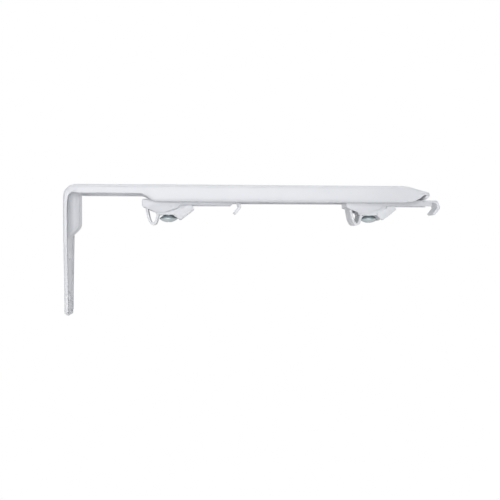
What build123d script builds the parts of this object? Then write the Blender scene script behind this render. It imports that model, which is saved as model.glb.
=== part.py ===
from build123d import *
import os

# Double wall bracket for curtain rails. +X runs along the arm, away from the wall; +Y is across
# the arm; +Z is up. The origin is the middle of the two wall screw holes, on the wall face.
# Lengths are in millimetres. Depths are measured down from the top of the arm.

# Sheet and overall sizes
SHEET = 1.6
ARM_TOP = 52.0
LEG_DEPTH = 74.0
ARM_LENGTH = 209.5
ARM_WIDTH = 28.0
ARM_DEPTH = 9.6
CORNER_R = 7.0
EDGE_R = 0.5
BEYOND = 600.0  # longer than the part each way, for outlines that cross the others
OVERRUN = 10.0  # how far the hollow runs on below the leg's toe

# Wall leg
LEG_RIM = 2.2
LEG_BOTTOM_WIDTH = 20.0
LEG_TAPER_FROM = 22.0
LEG_TAPER_TO = 68.0
LEG_TOE_R = 3.0
WALL_HOLE_R = 2.6
WALL_HOLE_SPACING = 24.0

# Neck between the leg and the deep arm
NECK_WIDTH = 25.0
NECK_DEPTH = 5.2
NECK_FROM = 10.0
SHOULDER_FROM = 42.0
SHOULDER_TO = 51.0

# Corner gusset
GUSSET_WIDTH = 12.0
GUSSET_REACH = 7.9
GUSSET_KNEE = 23.3
GUSSET_FOOT = 31.0
GUSSET_TOP_R = 4.5
GUSSET_EDGE_R = 1.5

# Lips under the deep arm, and the slot between them
LIP_FROM = 49.0
LIP_TO = 197.0
SLOT_WIDTH = 14.0

# Sloped nose
NOSE_FROM = 196.0
NOSE_BEND = 4.0
NOSE_BEND_DROP = 1.15
NOSE_TIP_R = 1.8
NOSE_TIP_DEPTH = 5.4
NOSE_CORNER_R = 4.0
TIP_TUCK = (1.0, 1.5)
RIM_END = (206.4, 5.2)
RIM_CURL = (0.9, 1.2)
RIM_R = 0.9

# Rail clips
CLIP_SHEET = 1.5
CLIP_WIDTH = 13.0
CLIP_TOP = 7.8
CLIP_LENGTH = 51.5
STRIP_DEPTH = 11.3
REAR_CLIP_X = 43.0
FRONT_CLIP_X = 161.4
HOOK_WIDTH = 10.7
HOOK_R = 1.2
OUTLINE_R = 0.6
BEND_R = 0.55

# Runner plate, nut, rivet and screw
RUNNER_FROM = 9.0
RUNNER_LENGTH = 19.0
RUNNER_WIDTH = 24.0
RUNNER_SHEET = 1.5
RUNNER_CORNER_R = 2.0
UPSTAND = (6.0, 1.0, 1.6)
SCREW_X = 15.0
SCREW_R = 2.4
SCREW_CLEAR_R = 2.75
SCREW_TIP = 1.9
HEAD_R = 5.3
HEAD_TOP = 17.0
HEAD_RIM = 18.8
HEAD_BOTTOM = 21.05
NUT_SIZE = 8.0
NUT_HEIGHT = 2.7
NUT_GAP = 0.05
NUT_CHAMFER = 0.4
RIVET_X = 24.4
RIVET_R = 1.5
RIVET_GAP = 0.02
RECESS = (5.2, 0.9, 2.2)

# Latch and its spring loop
LATCH_WIDTH = 9.7
LATCH_NOSE_WIDTH = 13.8
LATCH_TOP = 9.4
LATCH_BOTTOM = 16.8
LATCH_TRAVEL = 3.0
LATCH_SLOT_R = 2.7
LATCH_EDGE_R = 0.5
HEAD_POCKET_R = 5.6
LOOP_SHEET = 1.1
LOOP_WIDTH = 13.0
LOOP_NECK_WIDTH = 9.7

CLIPS = {"rear": REAR_CLIP_X, "front": FRONT_CLIP_X}


def prism(outline, plane, width):
    """A closed outline, given as a list of lines, extruded both ways from its plane."""
    with BuildPart() as part:
        with BuildSketch(plane):
            with BuildLine():
                for line in outline:
                    add(line)
            make_face()
        extrude(amount=width / 2, both=True)
    return part.part


def polygon(points, plane, width):
    """A straight-sided outline extruded both ways from its plane."""
    return prism([Polyline(*points, close=True)], plane, width)


def down(points):
    """Turns (x, depth below the arm's top) into (x, z)."""
    return [(x, -depth) for x, depth in points]


def arm_side(inset):
    """Side outline of the bracket; inset moves the skin inwards for the hollow."""
    radius = CORNER_R - inset
    tip_r = NOSE_TIP_R
    tip_x = ARM_LENGTH - NOSE_TIP_R - inset
    tip = (tip_x, -NOSE_TIP_DEPTH - inset)
    slope_end = (tip_x + 0.5, tip[1] + tip_r - 0.07)
    slope_start = (NOSE_FROM + NOSE_BEND, -inset - NOSE_BEND_DROP)
    end = (tip_x + TIP_TUCK[0], tip[1] - TIP_TUCK[1])
    rim = -LEG_DEPTH - (OVERRUN if inset else 0)
    outline = [
        Line((inset, rim), (inset, -CORNER_R)),
        JernArc((inset, -CORNER_R), (0, 1), radius, -90),
        Line((CORNER_R, -inset), (NOSE_FROM - NOSE_BEND, -inset)),
        Bezier((NOSE_FROM - NOSE_BEND, -inset), (NOSE_FROM, -inset), slope_start),
        Line(slope_start, slope_end),
        ThreePointArc(slope_end, (tip_x + tip_r, tip[1]), end),
    ]
    return outline, end


def outer_side():
    """Side outline of the whole pressing, rims included."""
    outline, end = arm_side(0)
    rim_x, rim_depth = RIM_END
    points = {
        "curl": (rim_x + RIM_CURL[0], -rim_depth - RIM_CURL[1]),
        "rim": (rim_x, -rim_depth),
        "deep": (NOSE_FROM, -ARM_DEPTH),
        "shoulder": (SHOULDER_TO, -ARM_DEPTH),
        "neck": (SHOULDER_FROM, -NECK_DEPTH),
        "corner": (NECK_FROM, -NECK_DEPTH),
        "leg": (LEG_RIM, -LEG_DEPTH),
    }
    corner_end = (LEG_RIM, -NECK_DEPTH - 8)
    middle = (SHOULDER_FROM + SHOULDER_TO) / 2
    return outline + [
        Line(end, points["curl"]),
        Line(points["curl"], points["rim"]),
        Bezier(points["rim"], (rim_x - 3, -rim_depth - 2.2), (rim_x - 6, -ARM_DEPTH), points["deep"]),
        Line(points["deep"], points["shoulder"]),
        Bezier(points["shoulder"], (middle, -ARM_DEPTH), (middle, -NECK_DEPTH), points["neck"]),
        Line(points["neck"], points["corner"]),
        Bezier(points["corner"], (LEG_RIM + 3, -NECK_DEPTH), (LEG_RIM, -NECK_DEPTH - 3), corner_end),
        Line(corner_end, points["leg"]),
        Line(points["leg"], (0, -LEG_DEPTH)),
    ]


def hollow_side():
    """Side outline of the hollow under the skin, open below."""
    outline, end = arm_side(SHEET)
    floor = -LEG_DEPTH - OVERRUN
    return outline + [Line(end, (end[0], floor)), Line((end[0], floor), (SHEET, floor))]


def arm_plan(inset):
    """Plan outline of the arm: leg width, narrow neck, wide arm."""
    wide = ARM_WIDTH / 2 - inset
    narrow = NECK_WIDTH / 2 - inset
    end = ARM_LENGTH + 5
    middle = (SHOULDER_FROM + SHOULDER_TO) / 2
    outline = []
    for side in (1, -1):
        outline += [
            Line((-1, side * wide), (2, side * wide)),
            Bezier((2, side * wide), (8, side * wide), (8, side * narrow), (14, side * narrow)),
            Line((14, side * narrow), (SHOULDER_FROM, side * narrow)),
            Bezier((SHOULDER_FROM, side * narrow), (middle, side * narrow),
                   (middle, side * wide), (SHOULDER_TO, side * wide)),
            Line((SHOULDER_TO, side * wide), (end, side * wide)),
        ]
    return outline + [Line((-1, wide), (-1, -wide)), Line((end, wide), (end, -wide))]


def nose_plan(inset):
    """Block that rounds the two corners of the nose in plan."""
    length, width = ARM_LENGTH - inset, ARM_WIDTH - 2 * inset
    block = Pos(length / 2, 0, 0) * Box(length, width, BEYOND)
    front = block.edges().filter_by(Axis.Z).sort_by(Axis.X)[-2:]
    return fillet(front, NOSE_CORNER_R - inset)


def leg_front(inset):
    """Front outline: full width above, tapering to the narrow rounded toe of the leg."""
    wide = ARM_WIDTH / 2 - inset
    narrow = LEG_BOTTOM_WIDTH / 2 - inset
    toe_r = LEG_TOE_R - inset
    toe = -LEG_DEPTH + inset
    outline = []
    for side in (1, -1):
        outline += [
            Line((side * wide, 5), (side * wide, -LEG_TAPER_FROM)),
            Bezier((side * wide, -LEG_TAPER_FROM), (side * wide, -LEG_TAPER_FROM - 12),
                   (side * narrow, -LEG_TAPER_TO + 20), (side * narrow, -LEG_TAPER_TO)),
            Line((side * narrow, -LEG_TAPER_TO), (side * narrow, toe + toe_r)),
            JernArc((side * narrow, toe + toe_r), (0, -1), toe_r, -90 * side),
        ]
    outline += [Line((wide, 5), (-wide, 5)), Line((narrow - toe_r, toe), (toe_r - narrow, toe))]
    return outline


def skin(side, inset):
    """One layer of the pressing: side, plan and front outlines crossed with each other."""
    body = prism(side, Plane.XZ, BEYOND)
    body = body & prism(arm_plan(inset), Plane.XY, BEYOND)
    return body & prism(leg_front(inset), Plane.YZ, BEYOND)


def on_skin(edge):
    """True for the long outer edges between the skin and the sides of the pressing."""
    middle = edge @ 0.5
    if abs(middle.Y) < LEG_BOTTOM_WIDTH / 2 - LEG_TOE_R:
        return middle.X < 0.01 and middle.Z < -LEG_DEPTH + 0.01
    if middle.X < 0.01 or middle.Z > -0.01:
        return True
    if middle.X < CORNER_R and middle.Z > -CORNER_R:
        return abs((middle - Vector(CORNER_R, middle.Y, -CORNER_R)).length - CORNER_R) < 0.01
    return middle.X > NOSE_FROM - NOSE_BEND and middle.Z > -NOSE_TIP_DEPTH + 1


def gusset():
    """Stiffening gusset pressed into the corner, flared where it meets the neck's ceiling."""
    under = SHEET - 0.2
    body = polygon(down([(under, under), (GUSSET_REACH, under), (GUSSET_REACH, GUSSET_KNEE),
                         (SHEET, GUSSET_FOOT), (under, GUSSET_FOOT)]), Plane.XZ, GUSSET_WIDTH)
    front = body.edges().filter_by(
        lambda e: (e @ 0.5).X > SHEET + 0.5 and (e @ 0.5).Z < -SHEET - 0.5)
    body = fillet(front, GUSSET_EDGE_R)
    flare_end = GUSSET_REACH + GUSSET_TOP_R
    flare_foot = -SHEET - GUSSET_TOP_R
    flare = prism([
        JernArc((flare_end, -SHEET), (-1, 0), GUSSET_TOP_R, 90),
        Line((GUSSET_REACH, flare_foot), (GUSSET_REACH - 1, flare_foot)),
        Line((GUSSET_REACH - 1, flare_foot), (GUSSET_REACH - 1, -under)),
        Line((GUSSET_REACH - 1, -under), (flare_end, -under)),
        Line((flare_end, -under), (flare_end, -SHEET)),
    ], Plane.XZ, GUSSET_WIDTH - 2 * GUSSET_EDGE_R)
    return body + flare


def gusset_hollow():
    """The hollow that the press leaves behind the gusset, in the wall face."""
    top, reach = CORNER_R + 1, GUSSET_REACH - SHEET
    outline = [(-1, top), (reach, top), (reach, GUSSET_KNEE - SHEET / 3), (0, GUSSET_FOOT - SHEET),
               (-1, GUSSET_FOOT - SHEET)]
    return polygon(down(outline), Plane.XZ, GUSSET_WIDTH - 2 * SHEET)


def arm_bracket():
    """The pressed bracket: skin, hollow, lips with their slot, gusset and wall screw holes."""
    body = skin(outer_side(), 0)
    body = fillet(body.edges().filter_by(on_skin), EDGE_R) & nose_plan(0)
    rims = body.edges().filter_by(
        lambda e: abs((e @ 0.5).Z + ARM_DEPTH) < 0.01 and abs((e @ 0.5).Y) > ARM_WIDTH / 2 - 0.1)
    body = fillet(rims, RIM_R)
    hollow = skin(hollow_side(), SHEET) & nose_plan(SHEET)
    middle, length = (LIP_FROM + LIP_TO) / 2, LIP_TO - LIP_FROM
    lips = Pos(middle, 0, -ARM_DEPTH + SHEET / 2) * Box(length, ARM_WIDTH, SHEET)
    slot = Pos(middle, 0, -ARM_DEPTH) * Box(2 * length, SLOT_WIDTH, 3 * SHEET)
    body = body - (hollow - (lips - slot))
    body = body + gusset() - gusset_hollow()
    for side in (1, -1):
        hole = Pos(0, 0, -ARM_TOP + side * WALL_HOLE_SPACING / 2) * Rot(0, 90, 0)
        body = body - hole * Cylinder(WALL_HOLE_R, 6 * SHEET)
    return body


def hole_down(x, radius):
    """A vertical cylinder through the clip's web, the runner and the nut."""
    return Pos(x, 0, -CLIP_TOP) * Cylinder(radius, 4 * NUT_HEIGHT)


def clip_plate():
    """Clip pressing: web, side skirts, rear wall, stepped strip and the fixed hook."""
    skirt = [(0, CLIP_TOP), (0, 12.0), (2.8, 13.3), (7.9, 15.4), (13.0, 15.4), (15.9, 14.4),
             (20.4, 12.9), (21.6, STRIP_DEPTH), (CLIP_LENGTH, STRIP_DEPTH), (CLIP_LENGTH, CLIP_TOP)]
    body = polygon(down(skirt), Plane.XZ, CLIP_WIDTH)
    corners = body.edges().filter_by(Axis.Y).filter_by(
        lambda e: e.center().Z < -11.5 or e.center().X < 0.1)
    body = fillet(corners, OUTLINE_R)
    bends = body.edges().filter_by(
        lambda e: abs(abs(e.center().Y) - CLIP_WIDTH / 2) < 0.01
        and (e.center().Z > -CLIP_TOP - 0.7 or e.center().X < 0.7) and e.center().X < CLIP_LENGTH - 0.1)
    body = fillet(bends, BEND_R)
    inside = Pos(CLIP_SHEET, 0, -CLIP_TOP - CLIP_SHEET) * Box(
        2 * CLIP_LENGTH, CLIP_WIDTH - 2 * CLIP_SHEET, 20, align=(Align.MIN, Align.CENTER, Align.MAX))
    body = body - inside
    root = Vector(CLIP_LENGTH - 1, 0, -CLIP_TOP - CLIP_SHEET / 2)
    path = Plane.XZ * FilletPolyline((root.X, root.Z), (55.0, root.Z), (56.4, -12.1), (53.2, -16.0),
                                     radius=HOOK_R)
    section = Plane(origin=root, x_dir=(0, 1, 0), z_dir=(1, 0, 0)) * Rectangle(HOOK_WIDTH, CLIP_SHEET)
    hook = sweep(section, path=path)
    holes = hole_down(SCREW_X, SCREW_CLEAR_R) + hole_down(RIVET_X, RIVET_R + RIVET_GAP)
    countersink = Pos(RIVET_X, 0, -CLIP_TOP - CLIP_SHEET + 0.5) * Cone(RIVET_R + 1.12, RIVET_R + RIVET_GAP, 1)
    return body + hook - holes - countersink


def runner_plate():
    """Plate that rides on the lips, with two upstands that keep the nut from turning."""
    low = -CLIP_TOP
    plate = Pos(RUNNER_FROM + RUNNER_LENGTH / 2, 0, low + RUNNER_SHEET / 2) * Box(
        RUNNER_LENGTH, RUNNER_WIDTH, RUNNER_SHEET)
    plate = fillet(plate.edges().filter_by(Axis.Z), RUNNER_CORNER_R)
    for side in (1, -1):
        tab_y = side * (NUT_SIZE / 2 + NUT_GAP + UPSTAND[1] / 2)
        plate = plate + Pos(SCREW_X, tab_y, low + RUNNER_SHEET + UPSTAND[2] / 2) * Box(*UPSTAND)
    return plate - hole_down(SCREW_X, SCREW_CLEAR_R) - hole_down(RIVET_X, RIVET_R + RIVET_GAP)


def lock_nut():
    """Square nut held between the runner's upstands."""
    nut = Pos(SCREW_X, 0, -CLIP_TOP + RUNNER_SHEET + NUT_HEIGHT / 2) * Box(NUT_SIZE, NUT_SIZE, NUT_HEIGHT)
    nut = chamfer(nut.faces().sort_by(Axis.Z)[-1].edges(), NUT_CHAMFER)
    return nut - hole_down(SCREW_X, SCREW_R + NUT_GAP)


def guide_rivet():
    """Rivet through web and runner: flush countersunk head below, domed head above."""
    low, seat = -CLIP_TOP - CLIP_SHEET, -CLIP_TOP + RUNNER_SHEET
    head_r, rise, shoulder = RIVET_R + 1, 1.0, 0.2
    with BuildPart() as rivet:
        with BuildSketch(Plane.XZ):
            with BuildLine():
                Polyline((0, seat + rise), (0, low), (RIVET_R + 1.1, low), (RIVET_R, low + 1),
                         (RIVET_R, seat), (head_r, seat), (head_r, seat + shoulder))
                Bezier((head_r, seat + shoulder), (head_r * 0.7, seat + rise), (0, seat + rise))
            make_face()
        revolve(axis=Axis.Z)
    return Pos(RIVET_X, 0, 0) * rivet.part


def lock_screw():
    """Raised countersunk head screw with a cross recess; its tip stops just under the ceiling."""
    with BuildPart() as screw:
        with BuildSketch(Plane.XZ):
            with BuildLine():
                Polyline((0, -SCREW_TIP), (SCREW_R - 0.4, -SCREW_TIP), (SCREW_R, -SCREW_TIP - 0.4),
                         (SCREW_R, -HEAD_TOP), (SCREW_R + 0.6, -HEAD_TOP), (HEAD_R, -HEAD_RIM))
                ThreePointArc((HEAD_R, -HEAD_RIM), (3.3, -20.2), (0, -HEAD_BOTTOM))
                Line((0, -HEAD_BOTTOM), (0, -SCREW_TIP))
            make_face()
        revolve(axis=Axis.Z)
    length, width, height = RECESS
    recess = Box(length, width, height) + Box(width, length, height)
    recess = Pos(0, 0, -HEAD_BOTTOM + width) * recess
    return Pos(SCREW_X, 0, 0) * (screw.part - recess)


def slot_cut(radius, from_depth, to_depth):
    """Upright slot that lets the latch travel past the screw."""
    height = to_depth - from_depth
    middle = -(from_depth + to_depth) / 2
    ends = Pos(SCREW_X, 0, middle) * Cylinder(radius, height)
    ends = ends + Pos(SCREW_X + LATCH_TRAVEL, 0, middle) * Cylinder(radius, height)
    return ends + Pos(SCREW_X + LATCH_TRAVEL / 2, 0, middle) * Box(LATCH_TRAVEL, 2 * radius, height)


def latch():
    """Moulded latch: core between the skirts, wider wedge nose, slot for the screw."""
    core = [(7.6, LATCH_TOP), (28.0, LATCH_TOP), (28.4, STRIP_DEPTH), (30.0, 13.4), (21.9, 19.7),
            (19.3, 17.8), (18.6, LATCH_BOTTOM), (8.2, LATCH_BOTTOM), (7.6, 15.8)]
    nose = [(24.9, STRIP_DEPTH + 0.15), (28.5, STRIP_DEPTH + 0.15), (30.0, 13.4), (21.9, 19.7),
            (19.3, 17.8), (18.4, 16.6), (19.3, 14.7), (23.7, 13.1)]
    wide = polygon(down(nose), Plane.XZ, LATCH_NOSE_WIDTH)
    wide = fillet(wide.edges().filter_by(Axis.Y).filter_by(lambda e: e.center().X > 21), LATCH_EDGE_R)
    narrow = polygon(down(core), Plane.XZ, LATCH_WIDTH)
    narrow = fillet(narrow.edges().filter_by(Axis.Y).filter_by(lambda e: e.center().Z < -13), LATCH_EDGE_R)
    body = narrow + wide
    return body - slot_cut(LATCH_SLOT_R, 5, 25) - slot_cut(HEAD_POCKET_R, LATCH_BOTTOM, 25)


def spring_loop():
    """Bent strap from the clip's rear wall, down round the finger loop, up to the latch's heel.
    It is narrow between the skirts and as wide as the clip below them."""
    start, heel = (2.25, LATCH_TOP + 0.1), (9.0, LATCH_BOTTOM)
    route = down([start, (3.0, 14.5), (4.3, 20.0), (6.6, 22.2), (8.1, 20.2), heel])
    path = Plane.XZ * Spline(*route, tangents=[(0.1, -1), (0.12, 1)])
    section = Plane(origin=(start[0], 0, -start[1]), x_dir=(0, 1, 0), z_dir=(0.1, 0, -1)) * Rectangle(
        LOOP_WIDTH, LOOP_SHEET)
    strap = sweep(section, path=path)
    keep = Pos(2, 0, -LATCH_TOP - 0.05) * Box(30, 30, 40, align=(Align.CENTER, Align.CENTER, Align.MAX))
    above_heel = Pos(9.5, 0, -LATCH_BOTTOM) * Box(4, 30, 10, align=(Align.CENTER, Align.CENTER, Align.MIN))
    under_skirts = down([(-2, LATCH_TOP - 1), (-2, 12.2), (0, 12.2), (2.8, 13.5), (7.9, 15.6),
                         (13, 15.6), (13, LATCH_TOP - 1)])
    sides = polygon(under_skirts, Plane.XZ, 2 * LOOP_WIDTH) - polygon(
        under_skirts, Plane.XZ, LOOP_NECK_WIDTH)
    return (strap & keep) - above_heel - sides


def save(shape, x, name):
    """Places a piece along the arm, drops it into the bracket's frame and writes it."""
    solids = shape.moved(Location((x, 0, ARM_TOP))).solids()
    export_step(solids[0] if len(solids) == 1 else Compound(solids), f"parts/{name}.step")


os.makedirs("parts", exist_ok=True)
save(arm_bracket(), 0, "arm_bracket")
for place, clip_x in CLIPS.items():
    save(clip_plate(), clip_x, f"{place}_clip_plate")
    save(runner_plate(), clip_x, f"{place}_runner_plate")
    save(lock_nut(), clip_x, f"{place}_lock_nut")
    save(guide_rivet(), clip_x, f"{place}_guide_rivet")
    save(lock_screw(), clip_x, f"{place}_lock_screw")
    save(latch(), clip_x, f"{place}_latch")
    save(spring_loop(), clip_x, f"{place}_latch_spring_loop")
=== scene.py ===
import math
import bpy
import bmesh
from mathutils import Matrix, Vector, geometry


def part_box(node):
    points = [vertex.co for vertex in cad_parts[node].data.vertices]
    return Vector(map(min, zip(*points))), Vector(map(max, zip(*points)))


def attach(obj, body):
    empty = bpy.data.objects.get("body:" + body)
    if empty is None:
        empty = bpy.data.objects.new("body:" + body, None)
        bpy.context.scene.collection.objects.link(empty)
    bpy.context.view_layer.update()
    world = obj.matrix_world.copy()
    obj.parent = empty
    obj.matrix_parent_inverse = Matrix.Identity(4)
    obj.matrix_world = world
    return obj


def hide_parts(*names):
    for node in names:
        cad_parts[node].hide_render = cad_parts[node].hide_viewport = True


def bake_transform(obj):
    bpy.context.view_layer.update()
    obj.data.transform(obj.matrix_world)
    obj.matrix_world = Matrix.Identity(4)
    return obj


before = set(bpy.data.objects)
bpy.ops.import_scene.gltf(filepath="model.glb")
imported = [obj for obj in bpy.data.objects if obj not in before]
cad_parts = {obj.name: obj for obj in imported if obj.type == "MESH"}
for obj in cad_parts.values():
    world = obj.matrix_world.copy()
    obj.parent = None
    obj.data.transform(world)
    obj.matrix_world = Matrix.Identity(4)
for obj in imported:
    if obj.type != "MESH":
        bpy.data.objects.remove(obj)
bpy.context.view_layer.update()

# Studio. The bracket hangs free in a white tent, over a plain pale floor. The camera stands a little
# below the arm and is turned a few degrees outwards. Softboxes light the bracket from all round, and
# the one under it brightens the undersides of the clips and screws.
arm_low, arm_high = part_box("arm_bracket")
arm_top = arm_high.z
near_side = arm_low.y

CAMERA_ALONG, CAMERA_AWAY, CAMERA_BELOW = 0.0675, 0.406, 0.0342
CAMERA_TILT, CAMERA_TURN = math.radians(89.6), math.radians(-5.17)
camera_data = bpy.data.cameras.new("studio_camera")
camera_data.lens = 51.7
camera_data.sensor_width = 36
camera_data.clip_start = 0.01
camera_data.clip_end = 20
camera = bpy.data.objects.new("studio_camera", camera_data)
camera.location = (CAMERA_ALONG, near_side - CAMERA_AWAY, arm_top - CAMERA_BELOW)
camera.rotation_euler = (CAMERA_TILT, 0, CAMERA_TURN)
bpy.context.scene.collection.objects.link(camera)
bpy.context.scene.camera = camera
bpy.context.scene.view_settings.view_transform = "Standard"


class Socket:
    """A shader socket in an expression. Operators on numbers become Math nodes."""

    def __init__(self, tree, link):
        self.tree, self.link = tree, link

    def node(self, kind, settings=None, output=0, **values):
        """Adds a node of this kind. Settings are made first, then inputs are filled by name or number."""
        made = self.tree.nodes.new(kind)
        for name, value in (settings or {}).items():
            if name == "stops":
                ramp = made.color_ramp
                while len(ramp.elements) < len(value):
                    ramp.elements.new(0.5)
                for element, (place, colour) in zip(ramp.elements, value):
                    element.position, element.color = place, colour
            else:
                setattr(made, name, value)
        for name, value in values.items():
            index = int(name[1:]) if name[0] == "i" and name[1:].isdigit() else name.replace("_", " ")
            if isinstance(value, Socket):
                self.tree.links.new(value.link, made.inputs[index])
            else:
                made.inputs[index].default_value = value
        return Socket(self.tree, made.outputs[output])

    def maths(self, operation, a, b):
        return self.node("ShaderNodeMath", {"operation": operation}, i0=a, i1=b)

    def __add__(self, other):
        return self.maths("ADD", self, other)

    def __radd__(self, other):
        return self.maths("ADD", other, self)

    def __sub__(self, other):
        return self.maths("SUBTRACT", self, other)

    def __rsub__(self, other):
        return self.maths("SUBTRACT", other, self)

    def __mul__(self, other):
        return self.maths("MULTIPLY", self, other)

    def __rmul__(self, other):
        return self.maths("MULTIPLY", other, self)


def white_backdrop(tree, seen, light):
    """Lets the camera see a plain white where the light rays see a softer one."""
    path = tree.nodes.new("ShaderNodeLightPath")
    mix = tree.nodes.new("ShaderNodeMixShader")
    tree.links.new(path.outputs["Is Camera Ray"], mix.inputs[0])
    tree.links.new(light.outputs[0], mix.inputs[1])
    tree.links.new(seen.outputs[0], mix.inputs[2])
    return mix


tent = bpy.data.worlds.new("white_tent")
tent.use_nodes = True
tree = tent.node_tree
seen = tree.nodes["Background"]
seen.inputs["Color"].default_value = (1, 1, 1, 1)
soft = tree.nodes.new("ShaderNodeBackground")
direction = Socket(tree, tree.nodes.new("ShaderNodeTexCoord").outputs["Generated"])
height = direction.node("ShaderNodeSeparateXYZ", output=2, i0=direction)
FROM_BELOW, FROM_THE_SIDE, FROM_ABOVE = (0.50, 0.52, 0.56, 1), (0.80, 0.82, 0.86, 1), (1, 1, 1, 1)
TENT_STRENGTH = 0.36
tent_stops = [(0.0, FROM_BELOW), (0.45, FROM_THE_SIDE), (1.0, FROM_ABOVE)]
shade = height.node("ShaderNodeValToRGB", {"stops": tent_stops}, Fac=height * 0.5 + 0.5)
tree.links.new(shade.link, soft.inputs["Color"])
soft.inputs["Strength"].default_value = TENT_STRENGTH
mix = white_backdrop(tree, seen, soft)
tree.links.new(mix.outputs[0], tree.nodes["World Output"].inputs[0])
bpy.context.scene.world = tent

FLOOR_DROP, FLOOR_SIZE, PAPER_GREY = 0.75, 12.0, (0.2, 0.2, 0.21, 1)
bpy.ops.mesh.primitive_plane_add(size=FLOOR_SIZE, location=(0, 0, arm_low.z - FLOOR_DROP))
floor = bpy.context.object
floor.name = "studio_floor"
paper = bpy.data.materials.new("studio_paper")
paper.use_nodes = True
tree = paper.node_tree
sheet = tree.nodes["Principled BSDF"]
sheet.inputs["Base Color"].default_value = PAPER_GREY
sheet.inputs["Roughness"].default_value = 0.9
glow = tree.nodes.new("ShaderNodeEmission")
mix = white_backdrop(tree, glow, sheet)
tree.links.new(mix.outputs[0], tree.nodes["Material Output"].inputs[0])
floor.data.materials.append(paper)


def softbox(name, place, aim, size, power):
    """A rectangular lamp that faces its aim and isn't seen itself."""
    data = bpy.data.lights.new(name, "AREA")
    data.shape = "RECTANGLE"
    data.size, data.size_y = size
    data.energy = power
    lamp = bpy.data.objects.new(name, data)
    lamp.location = place
    lamp.rotation_euler = (Vector(aim) - Vector(place)).to_track_quat("-Z", "Y").to_euler()
    lamp.visible_camera = False
    bpy.context.scene.collection.objects.link(lamp)


middle = (0.1, 0, arm_top)
under = arm_top - 0.262
softbox("top_softbox", (0.1, 0.0, 1.0), middle, (1.2, 0.8), 3.2)
softbox("front_softbox", (-0.1, -1.15, arm_top + 0.10), middle, (1.2, 0.7), 7.8)
softbox("table_glow", (0.1, -0.02, under), (0.1, -0.02, arm_top), (0.8, 0.9), 1.35)
softbox("right_softbox", (1.1, -0.5, arm_top - 0.1), middle, (0.7, 0.7), 0.4)
softbox("left_softbox", (-1.0, -0.6, arm_top - 0.1), middle, (0.7, 0.7), 0.5)
softbox("back_softbox", (0.0, 1.1, arm_top - 0.05), middle, (1.2, 0.8), 1.5)

# Bracket: one steel blank, pressed into a long channel and folded to an L. The wall leg has shallow
# flanges, the neck deeper ones, and the arm's flanges turn in as lips with a slot between them.
# A rib is pressed into the corner, and two holes take the wall screws.


def new_finish(name, **constants):
    """A material with one Principled shader: returns it, its shader node and the object coordinates."""
    made = bpy.data.materials.new(name)
    made.use_nodes = True
    tree = made.node_tree
    shader = tree.nodes["Principled BSDF"]
    for socket, value in constants.items():
        shader.inputs[socket.replace("_", " ")].default_value = value
    place = Socket(tree, tree.nodes.new("ShaderNodeTexCoord").outputs["Object"])
    return made, shader, place


def feed(shader, socket, value):
    value.tree.links.new(value.link, shader.inputs[socket])


# The enamel is sprayed and stoved: glossy with a faint orange peel, and a trace bluer than pure white.
ENAMEL_DARK, ENAMEL_LIGHT = (0.80, 0.815, 0.85, 1), (0.84, 0.85, 0.88, 1)
enamel, shader, place = new_finish("white_enamel", IOR=1.5, Coat_Weight=0.25, Coat_Roughness=0.16)
cloud = place.node("ShaderNodeTexNoise", Vector=place, Scale=35.0, Detail=3.0)
peel = place.node("ShaderNodeTexNoise", Vector=place, Scale=420.0, Detail=1.5)
tint = cloud.node("ShaderNodeValToRGB", {"stops": [(0.3, ENAMEL_DARK), (0.7, ENAMEL_LIGHT)]}, Fac=cloud)
feed(shader, "Base Color", tint)
feed(shader, "Roughness", cloud * 0.10 + 0.24)
feed(shader, "Normal", peel.node("ShaderNodeBump", Strength=0.05, Distance=0.0003, Height=peel))

MM = 0.001
SHEET = 1.6
TOE_R, CORNER_R, NOSE_R, TIP_R = 2.0, 7.0, 28.3, 1.9
NOSE_SLOPE, TIP_TURN, TIP_FLAT = math.radians(16.1), math.radians(112), 1.3
LEG_DEPTH, LEG_RIM, ARM_DEPTH, NECK_DEPTH = 74.0, 2.2, 9.6, 5.2
NOSE_FROM, SLOPE_TO = 192.0, 12.55
WIDE, NARROW, TOE_WIDE = 14.0, 12.5, 10.0
SLOT_HALF = 7.0
LIP_FROM, LIP_TO = 49.0, 197.0
BEND_R, LIP_R = 2.1, 1.3
BEND_SHARE = 0.5  # a bend takes at most this share of its flange's depth
LEAST_CURVE = 0.12  # the inner radius of the tightest bends
TOE_CORNER_R, TOE_ROUND, TIP_CORNER_R, TIP_ROUND = 3.0, 3.6, 4.0, 6.5
END_ROUNDING = 0.92
SLOPE_LEAD = 4.0  # the tip's curl starts this far before the end of the slope


def walk(runs, place, heading, s):
    """Follows straight runs (length, 0) and arcs (length, radius), right-hand where the radius is
    positive. Returns the place at length s and the heading there."""
    x, z = place
    for length, radius in runs:
        step = min(s, length)
        if radius:
            turned = heading - step / radius
            x += radius * (math.sin(heading) - math.sin(turned))
            z += radius * (math.cos(turned) - math.cos(heading))
            heading = turned
        else:
            x += step * math.cos(heading)
            z += step * math.sin(heading)
        s -= step
        if s <= 0:
            break
    return x, z, heading


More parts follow.
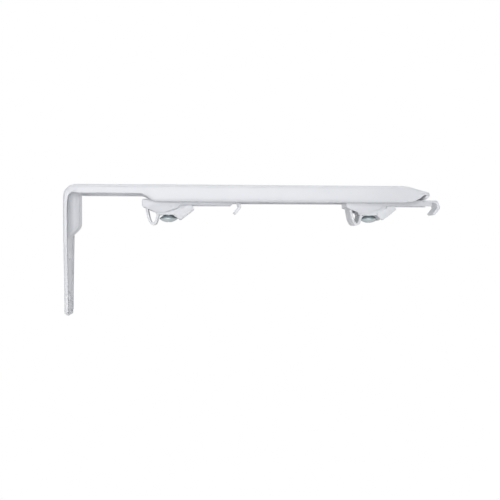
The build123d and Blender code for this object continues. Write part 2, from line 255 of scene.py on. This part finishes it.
def along(stops, s):
    """A value that changes smoothly from one (length, value) stop to the next, with no overshoot."""
    if s <= stops[0][0]:
        return stops[0][1]
    if s >= stops[-1][0]:
        return stops[-1][1]
    slopes = [(b[1] - a[1]) / (b[0] - a[0]) for a, b in zip(stops, stops[1:])]
    tangents = [0.0]
    for before, after in zip(slopes, slopes[1:]):
        tangents.append(2 * before * after / (before + after) if before * after > 0 else 0.0)
    tangents.append(slopes[-1])
    k = max(n for n, stop in enumerate(stops) if stop[0] <= s and n < len(stops) - 1)
    (s0, v0), (s1, v1) = stops[k], stops[k + 1]
    span = s1 - s0
    u = (s - s0) / span
    return ((1 + 2 * u) * (1 - u) ** 2 * v0 + u * (1 - u) ** 2 * span * tangents[k]
            + u * u * (3 - 2 * u) * v1 + u * u * (u - 1) * span * tangents[k + 1])


quarter = math.pi / 2
TOE_FLAT = LEG_RIM - TOE_R
spine = [(TOE_FLAT, 0), (TOE_R * quarter, TOE_R), (LEG_DEPTH - TOE_R - CORNER_R, 0),
         (CORNER_R * quarter, CORNER_R), (NOSE_FROM - CORNER_R, 0), (NOSE_R * NOSE_SLOPE, NOSE_R),
         (SLOPE_TO - SLOPE_LEAD, 0), (TIP_R * TIP_TURN, TIP_R), (TIP_FLAT, 0)]
spine_length = sum(length for length, radius in spine)
leg_end = TOE_FLAT + TOE_R * quarter + LEG_DEPTH - TOE_R - CORNER_R
arm_start = leg_end + CORNER_R * quarter
nose_start = arm_start + NOSE_FROM - CORNER_R
slope_start = nose_start + NOSE_R * NOSE_SLOPE


def on_leg(depth):
    return leg_end - (depth - CORNER_R)


def on_arm(x):
    return arm_start + x - CORNER_R


half_width = [(0, TOE_WIDE), (on_leg(68), TOE_WIDE), (on_leg(22), WIDE), (leg_end + 1, WIDE),
              (on_arm(14), NARROW), (on_arm(42), NARROW), (on_arm(51), WIDE), (spine_length, WIDE)]
flange_depth = [(0, 1.8), (TOE_FLAT + 2.4, LEG_RIM), (on_leg(13), LEG_RIM), (on_arm(10), NECK_DEPTH),
                (on_arm(42), NECK_DEPTH), (on_arm(51), ARM_DEPTH), (nose_start, ARM_DEPTH),
                (slope_start, 8.75), (slope_start + 5.0, 5.0), (slope_start + 7.4, 2.1),
                (spine_length, 1.75)]
lip_roll = [(on_arm(LIP_FROM - 4), 0), (on_arm(LIP_FROM), 1), (on_arm(LIP_TO), 1),
            (on_arm(LIP_TO + 2), 0)]
RIB_RISE, RIB_END, RIB_TOP_R = 6.3, 12.4, 6.1
RIB_CREST_HALF, RIB_FOOT_HALF = 3.7, 5.6
rib_rise = [(on_leg(31), 0), (on_leg(30), 0.6), (on_leg(24.2), 5.8), (on_leg(22.5), RIB_RISE),
            (leg_end, RIB_RISE)]
WEB_STEPS, BEND_STEPS, FLANGE_STEPS, ROLL_STEPS, LIP_STEPS = 22, 6, 3, 3, 5
half_section = ([("lip", 1 - n / LIP_STEPS) for n in range(LIP_STEPS)]
                + [("roll", 1 - n / ROLL_STEPS) for n in range(ROLL_STEPS)]
                + [("flange", 1 - n / FLANGE_STEPS) for n in range(FLANGE_STEPS)]
                + [("bend", 1 - n / BEND_STEPS) for n in range(BEND_STEPS)]
                + [("web", 1 - n / WEB_STEPS) for n in range(WEB_STEPS)])
columns = [(1, *c) for c in half_section] + [(1, "web", 0.0)] + [(-1, *c) for c in half_section[::-1]]
stations = [0.0]
for until, step in ((TOE_FLAT + 2.4, 0.4), (on_leg(67), 0.75), (on_leg(31), 0.75), (on_leg(22), 0.5),
                    (leg_end, 1.0), (on_arm(13), 0.5), (on_arm(41), 2.0), (on_arm(52), 0.55),
                    (nose_start - 4, 3.4), (spine_length, 0.45)):
    steps = max(1, round((until - stations[-1]) / step))
    first = stations[-1]
    stations += [first + (until - first) * (n + 1) / steps for n in range(steps)]
HOLE_DEPTHS, HOLE_R, HOLE_ROWS, HOLE_COLUMNS = (40, 64), 2.6, 4, 6
hole_rows = [min(range(len(stations)), key=lambda n: abs(stations[n] - on_leg(depth)))
             for depth in HOLE_DEPTHS]
middle_column = len(half_section)


def pressed(row, column, inset):
    """Place of one point of the blank after pressing; inset is how far it lies inside the skin."""
    s = stations[row]
    side, part, f = columns[column]
    x, z, heading = walk(spine, (LEG_RIM, -LEG_DEPTH), math.pi, s)
    wide, deep = along(half_width, s), along(flange_depth, s)
    toe_left = END_ROUNDING * max(0, 1 - s / TOE_ROUND)
    tip_left = END_ROUNDING * max(0, 1 - (spine_length - s) / TIP_ROUND)
    wide -= TOE_CORNER_R * (1 - math.sqrt(1 - toe_left ** 2))
    wide -= TIP_CORNER_R * (1 - math.sqrt(1 - tip_left ** 2))
    bend = min(BEND_R, BEND_SHARE * deep)
    curve = max(bend - inset, LEAST_CURVE)
    lip_curve = max(LIP_R - inset, LEAST_CURVE)
    roll = along(lip_roll, s)
    flange_from = inset + curve
    plain_share = FLANGE_STEPS / (FLANGE_STEPS + ROLL_STEPS)
    if part == "web":
        y, n = f * (wide - inset - curve), inset
        crest = 1 - along([(RIB_CREST_HALF + 0.55 * inset, 0), (RIB_FOOT_HALF + 0.5 * inset, 1)], y)
        if s <= leg_end:
            n += along(rib_rise, s) * crest
    elif part == "bend":
        y = wide - inset - curve * (1 - math.sin(f * quarter))
        n = inset + curve * (1 - math.cos(f * quarter))
    elif part == "flange":
        plain = flange_from + f * plain_share * (deep - flange_from)
        rolled = flange_from + f * (deep - LIP_R - flange_from)
        y, n = wide - inset, plain + roll * (rolled - plain)
    else:
        a = f * quarter if part == "roll" else quarter
        plain_f = plain_share + (1 - plain_share) * (f if part == "roll" else 1)
        plain = flange_from + plain_f * (deep - flange_from)
        y = wide - inset - roll * lip_curve * (1 - math.cos(a))
        n = plain + roll * (deep - inset - lip_curve * (1 - math.sin(a)) - plain)
        if part == "lip":
            y += f * (SLOT_HALF - y)
    y *= side
    across = (x + n * math.sin(heading), z - n * math.cos(heading))
    if part == "web" and leg_end < s < on_arm(RIB_END):
        top_r = RIB_TOP_R - inset
        upright = CORNER_R - RIB_TOP_R
        share = (s - leg_end) / (on_arm(RIB_END) - leg_end)
        ridge = walk([(upright, 0), (top_r * quarter, top_r)], (RIB_RISE + inset, -CORNER_R), quarter,
                     share * (upright + top_r * quarter))
        across = (across[0] + crest * (ridge[0] - across[0]), across[1] + crest * (ridge[1] - across[1]))
    if part == "web":
        for hole in hole_rows:
            dy, dz = y, s - stations[hole]
            ring = max(abs(row - hole) / HOLE_ROWS, abs(column - middle_column) / HOLE_COLUMNS)
            if 0 < ring < 2:
                reach = math.hypot(dy, dz)
                round_y, round_z = dy / reach * HOLE_R * ring, dz / reach * HOLE_R * ring
                mix = max(0, ring - 1)
                y = round_y + mix * (dy - round_y)
                across = (across[0], across[1] + round_z + mix * (dz - round_z) - dz)
    return Vector((across[0] * MM, y * MM, across[1] * MM + arm_top))


bm = bmesh.new()
bmesh.ops.create_grid(bm, x_segments=len(stations) - 1, y_segments=len(columns) - 1, size=0.5)
row_of = bm.verts.layers.int.new("row")
column_of = bm.verts.layers.int.new("column")
for vert in bm.verts:
    vert[row_of] = round((vert.co.x + 0.5) * (len(stations) - 1))
    vert[column_of] = round((vert.co.y + 0.5) * (len(columns) - 1))
offcuts = []
for face in bm.faces:
    row = sum(v[row_of] for v in face.verts) / 4
    column = sum(v[column_of] for v in face.verts) / 4
    in_lip = min(column, len(columns) - 1 - column) < LIP_STEPS
    s = stations[int(row)]
    bare = s < on_arm(LIP_FROM) or s > on_arm(LIP_TO)
    in_hole = any(abs(row - hole) < HOLE_ROWS and abs(column - middle_column) < HOLE_COLUMNS
                  for hole in hole_rows)
    if (in_lip and bare) or in_hole:
        offcuts.append(face)
bmesh.ops.delete(bm, geom=offcuts, context="FACES")
grown = bmesh.ops.extrude_face_region(bm, geom=bm.faces[:])
inner = {v for v in grown["geom"] if isinstance(v, bmesh.types.BMVert)}
for vert in bm.verts:
    vert.co = pressed(vert[row_of], vert[column_of], SHEET if vert in inner else 0.0)
bmesh.ops.recalc_face_normals(bm, faces=bm.faces[:])
RIM_CROWN, RIM_CUTS, SIDE_SHARE = 0.32, 3, 0.75
rim_edges = [e for e in bm.edges if (e.verts[0] in inner) != (e.verts[1] in inner)]
cut = bmesh.ops.subdivide_edges(bm, edges=rim_edges, cuts=RIM_CUTS, use_grid_fill=True)
crown = {v for v in cut["geom_inner"] if isinstance(v, bmesh.types.BMVert)}
bm.normal_update()
for vert in crown:
    beside_skin = any(e.other_vert(vert) not in crown for e in vert.link_edges)
    vert.co += vert.normal * RIM_CROWN * MM * (SIDE_SHARE if beside_skin else 1.0)
mesh = bpy.data.meshes.new("bracket_pressing")
bm.to_mesh(mesh)
bm.free()
for polygon in mesh.polygons:
    polygon.use_smooth = True
mesh.materials.append(enamel)
pressing = bpy.data.objects.new("bracket_pressing", mesh)
bpy.context.scene.collection.objects.link(pressing)
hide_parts("arm_bracket")
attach(pressing, "bracket")

# Rail clips: each a short steel pressing with side skirts, a closed rear wall, a shallow strip
# that runs on under the arm and a fixed hook at its end.
CLIPS = {"rear": 43.0, "front": 161.4}
CLIP_HALF, CLIP_TOP, CLIP_LENGTH, CLIP_SHEET = 6.5, 7.8, 51.5, 1.5
CLIP_BEND_R, SKIRT_CORNER_R, CLIP_EDGE_R = 0.8, 0.5, 0.28
SKIRT = [(0, 7.8), (0, 12.0), (2.8, 13.3), (7.9, 15.4), (13.0, 15.4), (15.9, 14.4), (20.4, 12.9),
         (21.6, 11.3), (51.5, 11.3), (51.5, 7.8)]
HOOK_HALF, HOOK_BEND_R = 5.35, 1.95
hook_runs = [(2.68, 0), (HOOK_BEND_R * math.radians(68.5), HOOK_BEND_R), (2.3, 0),
             (HOOK_BEND_R * math.radians(60.9), HOOK_BEND_R), (4.3, 0)]


def new_piece(name, bm, finish):
    """Turns a bmesh into a smooth-shaded piece with this finish."""
    mesh = bpy.data.meshes.new(name)
    bm.to_mesh(mesh)
    bm.free()
    mesh.shade_smooth()
    mesh.materials.append(finish)
    piece = bpy.data.objects.new(name, mesh)
    bpy.context.scene.collection.objects.link(piece)
    return piece


def add_bevel(piece, width, segments, angle=50):
    rounding = piece.modifiers.new("rounding", "BEVEL")
    rounding.width, rounding.segments = width * MM, segments
    rounding.limit_method, rounding.angle_limit = "ANGLE", math.radians(angle)


def add_sheet(piece, thickness, offset=-1.0):
    sheet = piece.modifiers.new("sheet", "SOLIDIFY")
    sheet.thickness, sheet.offset, sheet.use_even_offset = thickness * MM, offset, True


def settle(piece):
    """Makes the piece's modifiers part of its mesh."""
    bpy.context.view_layer.update()
    shaped = piece.evaluated_get(bpy.context.evaluated_depsgraph_get())
    mesh = bpy.data.meshes.new_from_object(shaped)
    piece.modifiers.clear()
    piece.data = mesh


def slab(bm, outline, clip_x, half):
    """A flat outline of (x, depth) points on the clip, given thickness across the arm."""
    corners = [bm.verts.new(((clip_x + x) * MM, -half * MM, arm_top - depth * MM)) for x, depth in outline]
    side = bm.faces.new(corners)
    grown = bmesh.ops.extrude_face_region(bm, geom=[side])
    moved = [v for v in grown["geom"] if isinstance(v, bmesh.types.BMVert)]
    bmesh.ops.translate(bm, vec=(0, 2 * half * MM, 0), verts=moved)
    bmesh.ops.recalc_face_normals(bm, faces=bm.faces[:])


def round_off(bm, edges, radius, segments):
    bmesh.ops.bevel(bm, geom=edges, offset=radius * MM, offset_type="OFFSET", segments=segments,
                    profile=0.5, affect="EDGES", clamp_overlap=True, material=-1)


# The web is drilled for the lock screw, and drilled and countersunk for the rivet.
SCREW_X, SCREW_HOLE_R = 15.0, 2.75
RIVET_HOLE_X, RIVET_HOLE_R, RIVET_SINK_R, RIVET_SINK = 24.4, 1.53, 2.65, 1.0
DRILL_LENGTH, DRILL_SPARE, ROUND_STEPS = 6.0, 0.04, 48


def drill(bm, clip_x, x, depth, low_r, high_r, length):
    """A round cutter through the web, centred at this depth below the top of the arm."""
    bore = bmesh.ops.create_cone(bm, cap_ends=True, segments=ROUND_STEPS, radius1=low_r * MM,
                                 radius2=high_r * MM, depth=length * MM)["verts"]
    bmesh.ops.translate(bm, verts=bore, vec=((clip_x + x) * MM, 0, arm_top - depth * MM))


def punch_out(piece, cutter_bm):
    """Cuts a solid out of the piece, then throws the cutter away."""
    mesh = bpy.data.meshes.new("punch")
    cutter_bm.to_mesh(mesh)
    cutter_bm.free()
    punch = bpy.data.objects.new("punch", mesh)
    bpy.context.scene.collection.objects.link(punch)
    cut = piece.modifiers.new("cut", "BOOLEAN")
    cut.operation, cut.object, cut.solver, cut.use_self = "DIFFERENCE", punch, "EXACT", True
    settle(piece)
    bpy.data.objects.remove(punch)


for place, clip_x in CLIPS.items():
    bm = bmesh.new()
    slab(bm, SKIRT, clip_x, CLIP_HALF)
    top, rear = arm_top - CLIP_TOP * MM, clip_x * MM
    end = (clip_x + CLIP_LENGTH) * MM
    low_corners, bends = [], []
    for edge in bm.edges:
        middle = (edge.verts[0].co + edge.verts[1].co) / 2
        lengthwise = abs(middle.y) > 1e-6
        if not lengthwise and middle.z < top - 1e-5 and middle.x < end - 1e-5:
            low_corners.append(edge)
        elif middle.x < end - 1e-5 and (middle.z > top - 1e-5 or (lengthwise and middle.x < rear + 1e-5)):
            bends.append(edge)
    round_off(bm, bends, CLIP_BEND_R, 5)
    low_corners = [e for e in low_corners if e.is_valid]
    round_off(bm, low_corners, SKIRT_CORNER_R, 3)
    bm.normal_update()
    open_faces = [f for f in bm.faces if f.normal.z < -0.02 or f.normal.x > 0.9]
    bmesh.ops.delete(bm, geom=open_faces, context="FACES")
    lip = [e for e in bm.edges if e.is_boundary
           and all(v.co.x > end - 1e-6 and v.co.z > top - 1e-6 for v in e.verts)]
    done, rows = 0.0, []
    for length, radius in hook_runs:
        steps = 7 if radius else 2
        rows += [done + length * (n + 1) / steps for n in range(steps)]
        done += length
    for row in rows:
        x, z, heading = walk(hook_runs, (clip_x + CLIP_LENGTH, -CLIP_TOP), 0.0, row)
        grown = bmesh.ops.extrude_edge_only(bm, edges=lip)
        lip = [g for g in grown["geom"] if isinstance(g, bmesh.types.BMEdge)]
        for vert in {v for e in lip for v in e.verts}:
            vert.co = (x * MM, math.copysign(HOOK_HALF * MM, vert.co.y), z * MM + arm_top)
    bmesh.ops.remove_doubles(bm, verts=bm.verts[:], dist=1e-6)
    clip = new_piece(f"{place}_clip_pressing", bm, enamel)
    add_sheet(clip, CLIP_SHEET)
    add_bevel(clip, CLIP_EDGE_R, 2)
    drills = bmesh.new()
    drill(drills, clip_x, SCREW_X, CLIP_TOP, SCREW_HOLE_R, SCREW_HOLE_R, DRILL_LENGTH)
    drill(drills, clip_x, RIVET_HOLE_X, CLIP_TOP, RIVET_HOLE_R, RIVET_HOLE_R, DRILL_LENGTH)
    sink_at = CLIP_TOP + CLIP_SHEET - RIVET_SINK / 2
    drill(drills, clip_x, RIVET_HOLE_X, sink_at, RIVET_SINK_R, RIVET_HOLE_R, RIVET_SINK + DRILL_SPARE)
    punch_out(clip, drills)
    clip.data.set_sharp_from_angle(angle=math.radians(40))
    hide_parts(f"{place}_clip_plate")
    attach(clip, f"{place}_clip")

# Latches: moulded blocks of natural nylon that slide between the clips' skirts. The rail pushes the
# wide wedge nose back, and the spring loop returns it. The edges are softened as a moulding's are.
NYLON_DARK, NYLON_LIGHT = (0.79, 0.805, 0.83, 1), (0.84, 0.85, 0.87, 1)
nylon, shader, place = new_finish("natural_nylon", IOR=1.53, Subsurface_Weight=0.25,
                                  Subsurface_Radius=(1, 1, 0.95), Subsurface_Scale=0.0015)
cloud = place.node("ShaderNodeTexNoise", Vector=place, Scale=180.0, Detail=4.0)
tint = cloud.node("ShaderNodeValToRGB", {"stops": [(0.3, NYLON_DARK), (0.7, NYLON_LIGHT)]}, Fac=cloud)
feed(shader, "Base Color", tint)
feed(shader, "Roughness", cloud * 0.15 + 0.38)
feed(shader, "Normal", cloud.node("ShaderNodeBump", Strength=0.15, Distance=0.0003, Height=cloud))
LATCH_EDGE_R = 0.3
for place in CLIPS:
    bm = bmesh.new()
    bm.from_mesh(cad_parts[f"{place}_latch"].data)
    bmesh.ops.remove_doubles(bm, verts=bm.verts[:], dist=2e-6)
    bmesh.ops.dissolve_limit(bm, angle_limit=math.radians(1.0), verts=bm.verts[:], edges=bm.edges[:])
    latch = new_piece(f"{place}_latch_moulding", bm, nylon)
    add_bevel(latch, LATCH_EDGE_R, 3, 35)
    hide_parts(f"{place}_latch")
    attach(latch, f"{place}_latch")

# Spring loops: nylon straps moulded on the latches' heels, hung from the clips' rear walls. A
# finger pulls the loop back to free the rail.
LOOP_HALF, LOOP_NECK_HALF, LOOP_SHEET, LOOP_EDGE_R = 6.5, 4.85, 1.4, 0.4
BEND_POINTS = 20
skirt_edge = [(0, 13.4), (2.8, 13.7), (7.9, 15.8)]
loop_bends = [((2.25, 9.6), (3.2, 16.5), (4.0, 22.0), (6.5, 22.0)),
              ((6.5, 22.0), (8.2, 22.0), (8.6, 18.6), (9.0, 16.6))]
for place, clip_x in CLIPS.items():
    bm = bmesh.new()
    route = []
    for bend in loop_bends:
        points = [Vector((clip_x + x, 0, -depth)) for x, depth in bend]
        route += geometry.interpolate_bezier(*points, BEND_POINTS)
    ends = [bm.verts.new((route[0].x * MM, side * LOOP_NECK_HALF * MM, route[0].z * MM + arm_top))
            for side in (-1, 1)]
    strap_end = [bm.edges.new(ends)]
    for point in route[1:BEND_POINTS] + route[BEND_POINTS + 1:]:
        grown = bmesh.ops.extrude_edge_only(bm, edges=strap_end)
        strap_end = [g for g in grown["geom"] if isinstance(g, bmesh.types.BMEdge)]
        below_skirts = -point.z > along(skirt_edge, point.x - clip_x)
        half = LOOP_HALF if below_skirts else LOOP_NECK_HALF
        for vert in strap_end[0].verts:
            vert.co = (point.x * MM, math.copysign(half * MM, vert.co.y), point.z * MM + arm_top)
    bmesh.ops.recalc_face_normals(bm, faces=bm.faces[:])
    loop = new_piece(f"{place}_finger_loop", bm, nylon)
    add_sheet(loop, LOOP_SHEET, 0.0)
    add_bevel(loop, LOOP_EDGE_R, 3)
    settle(loop)
    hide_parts(f"{place}_latch_spring_loop")
    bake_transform(loop)

# Lock screws: M5 raised countersunk steel screws with a cross recess, plated with bright zinc and a
# blue passivate. Each runs up through its clip into the square nut and clamps the clip to the arm.
ZINC_DARK, ZINC_LIGHT = (0.58, 0.66, 0.68, 1), (0.72, 0.77, 0.78, 1)
zinc, shader, place = new_finish("bright_zinc", Metallic=1.0)
cloud = place.node("ShaderNodeTexNoise", Vector=place, Scale=300.0, Detail=3.0)
tint = cloud.node("ShaderNodeValToRGB", {"stops": [(0.3, ZINC_DARK), (0.7, ZINC_LIGHT)]}, Fac=cloud)
feed(shader, "Base Color", tint)
feed(shader, "Roughness", cloud * 0.15 + 0.26)
SCREW_R, SCREW_TIP, TIP_CHAMFER = 2.4, 1.9, 0.45
HEAD_R, HEAD_TOP, HEAD_RIM, HEAD_BOTTOM = 5.3, 17.0, 18.7, 21.0
RECESS_MOUTH, RECESS_FOOT, RECESS_HEIGHT, RECESS_AT = (5.4, 0.95), (1.6, 0.6), 2.6, 1.0
DOME_POINTS, DOME_RIM = 10, 0.25
dome_rise = HEAD_BOTTOM - HEAD_RIM - DOME_RIM
dome_r = (HEAD_R ** 2 + dome_rise ** 2) / (2 * dome_rise)
dome_turn = math.asin(HEAD_R / dome_r)
for place, clip_x in CLIPS.items():
    centre = Vector(((clip_x + SCREW_X) * MM, 0, arm_top))
    bm = bmesh.new()
    profile = [(0, SCREW_TIP), (SCREW_R - TIP_CHAMFER, SCREW_TIP), (SCREW_R, SCREW_TIP + TIP_CHAMFER),
               (SCREW_R, HEAD_TOP), (3.0, HEAD_TOP + 0.05), (HEAD_R - 0.08, HEAD_RIM - 0.06),
               (HEAD_R, HEAD_RIM + 0.05), (HEAD_R, HEAD_RIM + 0.22)]
    turns = [dome_turn * (1 - n / DOME_POINTS) for n in range(1, DOME_POINTS + 1)]
    profile += [(dome_r * math.sin(a), HEAD_BOTTOM - dome_r * (1 - math.cos(a))) for a in turns]
    points = [bm.verts.new(centre + Vector((r * MM, 0, -depth * MM))) for r, depth in profile]
    line = [bm.edges.new(pair) for pair in zip(points, points[1:])]
    bmesh.ops.spin(bm, geom=line + points, cent=centre, axis=(0, 0, 1), angle=2 * math.pi,
                   steps=ROUND_STEPS, use_merge=True)
    bmesh.ops.remove_doubles(bm, verts=bm.verts[:], dist=1e-6)
    bmesh.ops.recalc_face_normals(bm, faces=bm.faces[:])
    screw = new_piece(f"{place}_cross_screw", bm, zinc)
    cutter_bm = bmesh.new()
    recess_place = centre - Vector((0, 0, (HEAD_BOTTOM - RECESS_AT) * MM))
    for turn in (0, quarter):
        wing = bmesh.ops.create_cube(cutter_bm, size=1)["verts"]
        for vert in wing:
            length, width = RECESS_FOOT if vert.co.z > 0 else RECESS_MOUTH
            vert.co.x *= length * MM
            vert.co.y *= width * MM
            vert.co.z *= RECESS_HEIGHT * MM
        bmesh.ops.rotate(cutter_bm, verts=wing, cent=(0, 0, 0), matrix=Matrix.Rotation(turn, 3, "Z"))
        bmesh.ops.translate(cutter_bm, verts=wing, vec=recess_place)
    punch_out(screw, cutter_bm)
    screw.data.set_sharp_from_angle(angle=math.radians(35))
    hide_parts(f"{place}_lock_screw")
    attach(screw, f"{place}_screw")

# Runner plates, square nuts and rivets: plain steel pieces inside the arm, with a duller zinc plate.
# They are hardly seen, so they keep the plain shapes that they have.
PLATE_DARK, PLATE_LIGHT = (0.52, 0.54, 0.55, 1), (0.68, 0.69, 0.70, 1)
plated, shader, place = new_finish("zinc_plated_steel", Metallic=1.0)
cloud = place.node("ShaderNodeTexNoise", Vector=place, Scale=240.0, Detail=4.0)
tint = cloud.node("ShaderNodeValToRGB", {"stops": [(0.3, PLATE_DARK), (0.7, PLATE_LIGHT)]}, Fac=cloud)
feed(shader, "Base Color", tint)
feed(shader, "Roughness", cloud * 0.25 + 0.30)
feed(shader, "Normal", cloud.node("ShaderNodeBump", Strength=0.1, Distance=0.0002, Height=cloud))
for name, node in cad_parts.items():
    if name.endswith(("runner_plate", "lock_nut", "guide_rivet")):
        node.data.materials.clear()
        node.data.materials.append(plated)
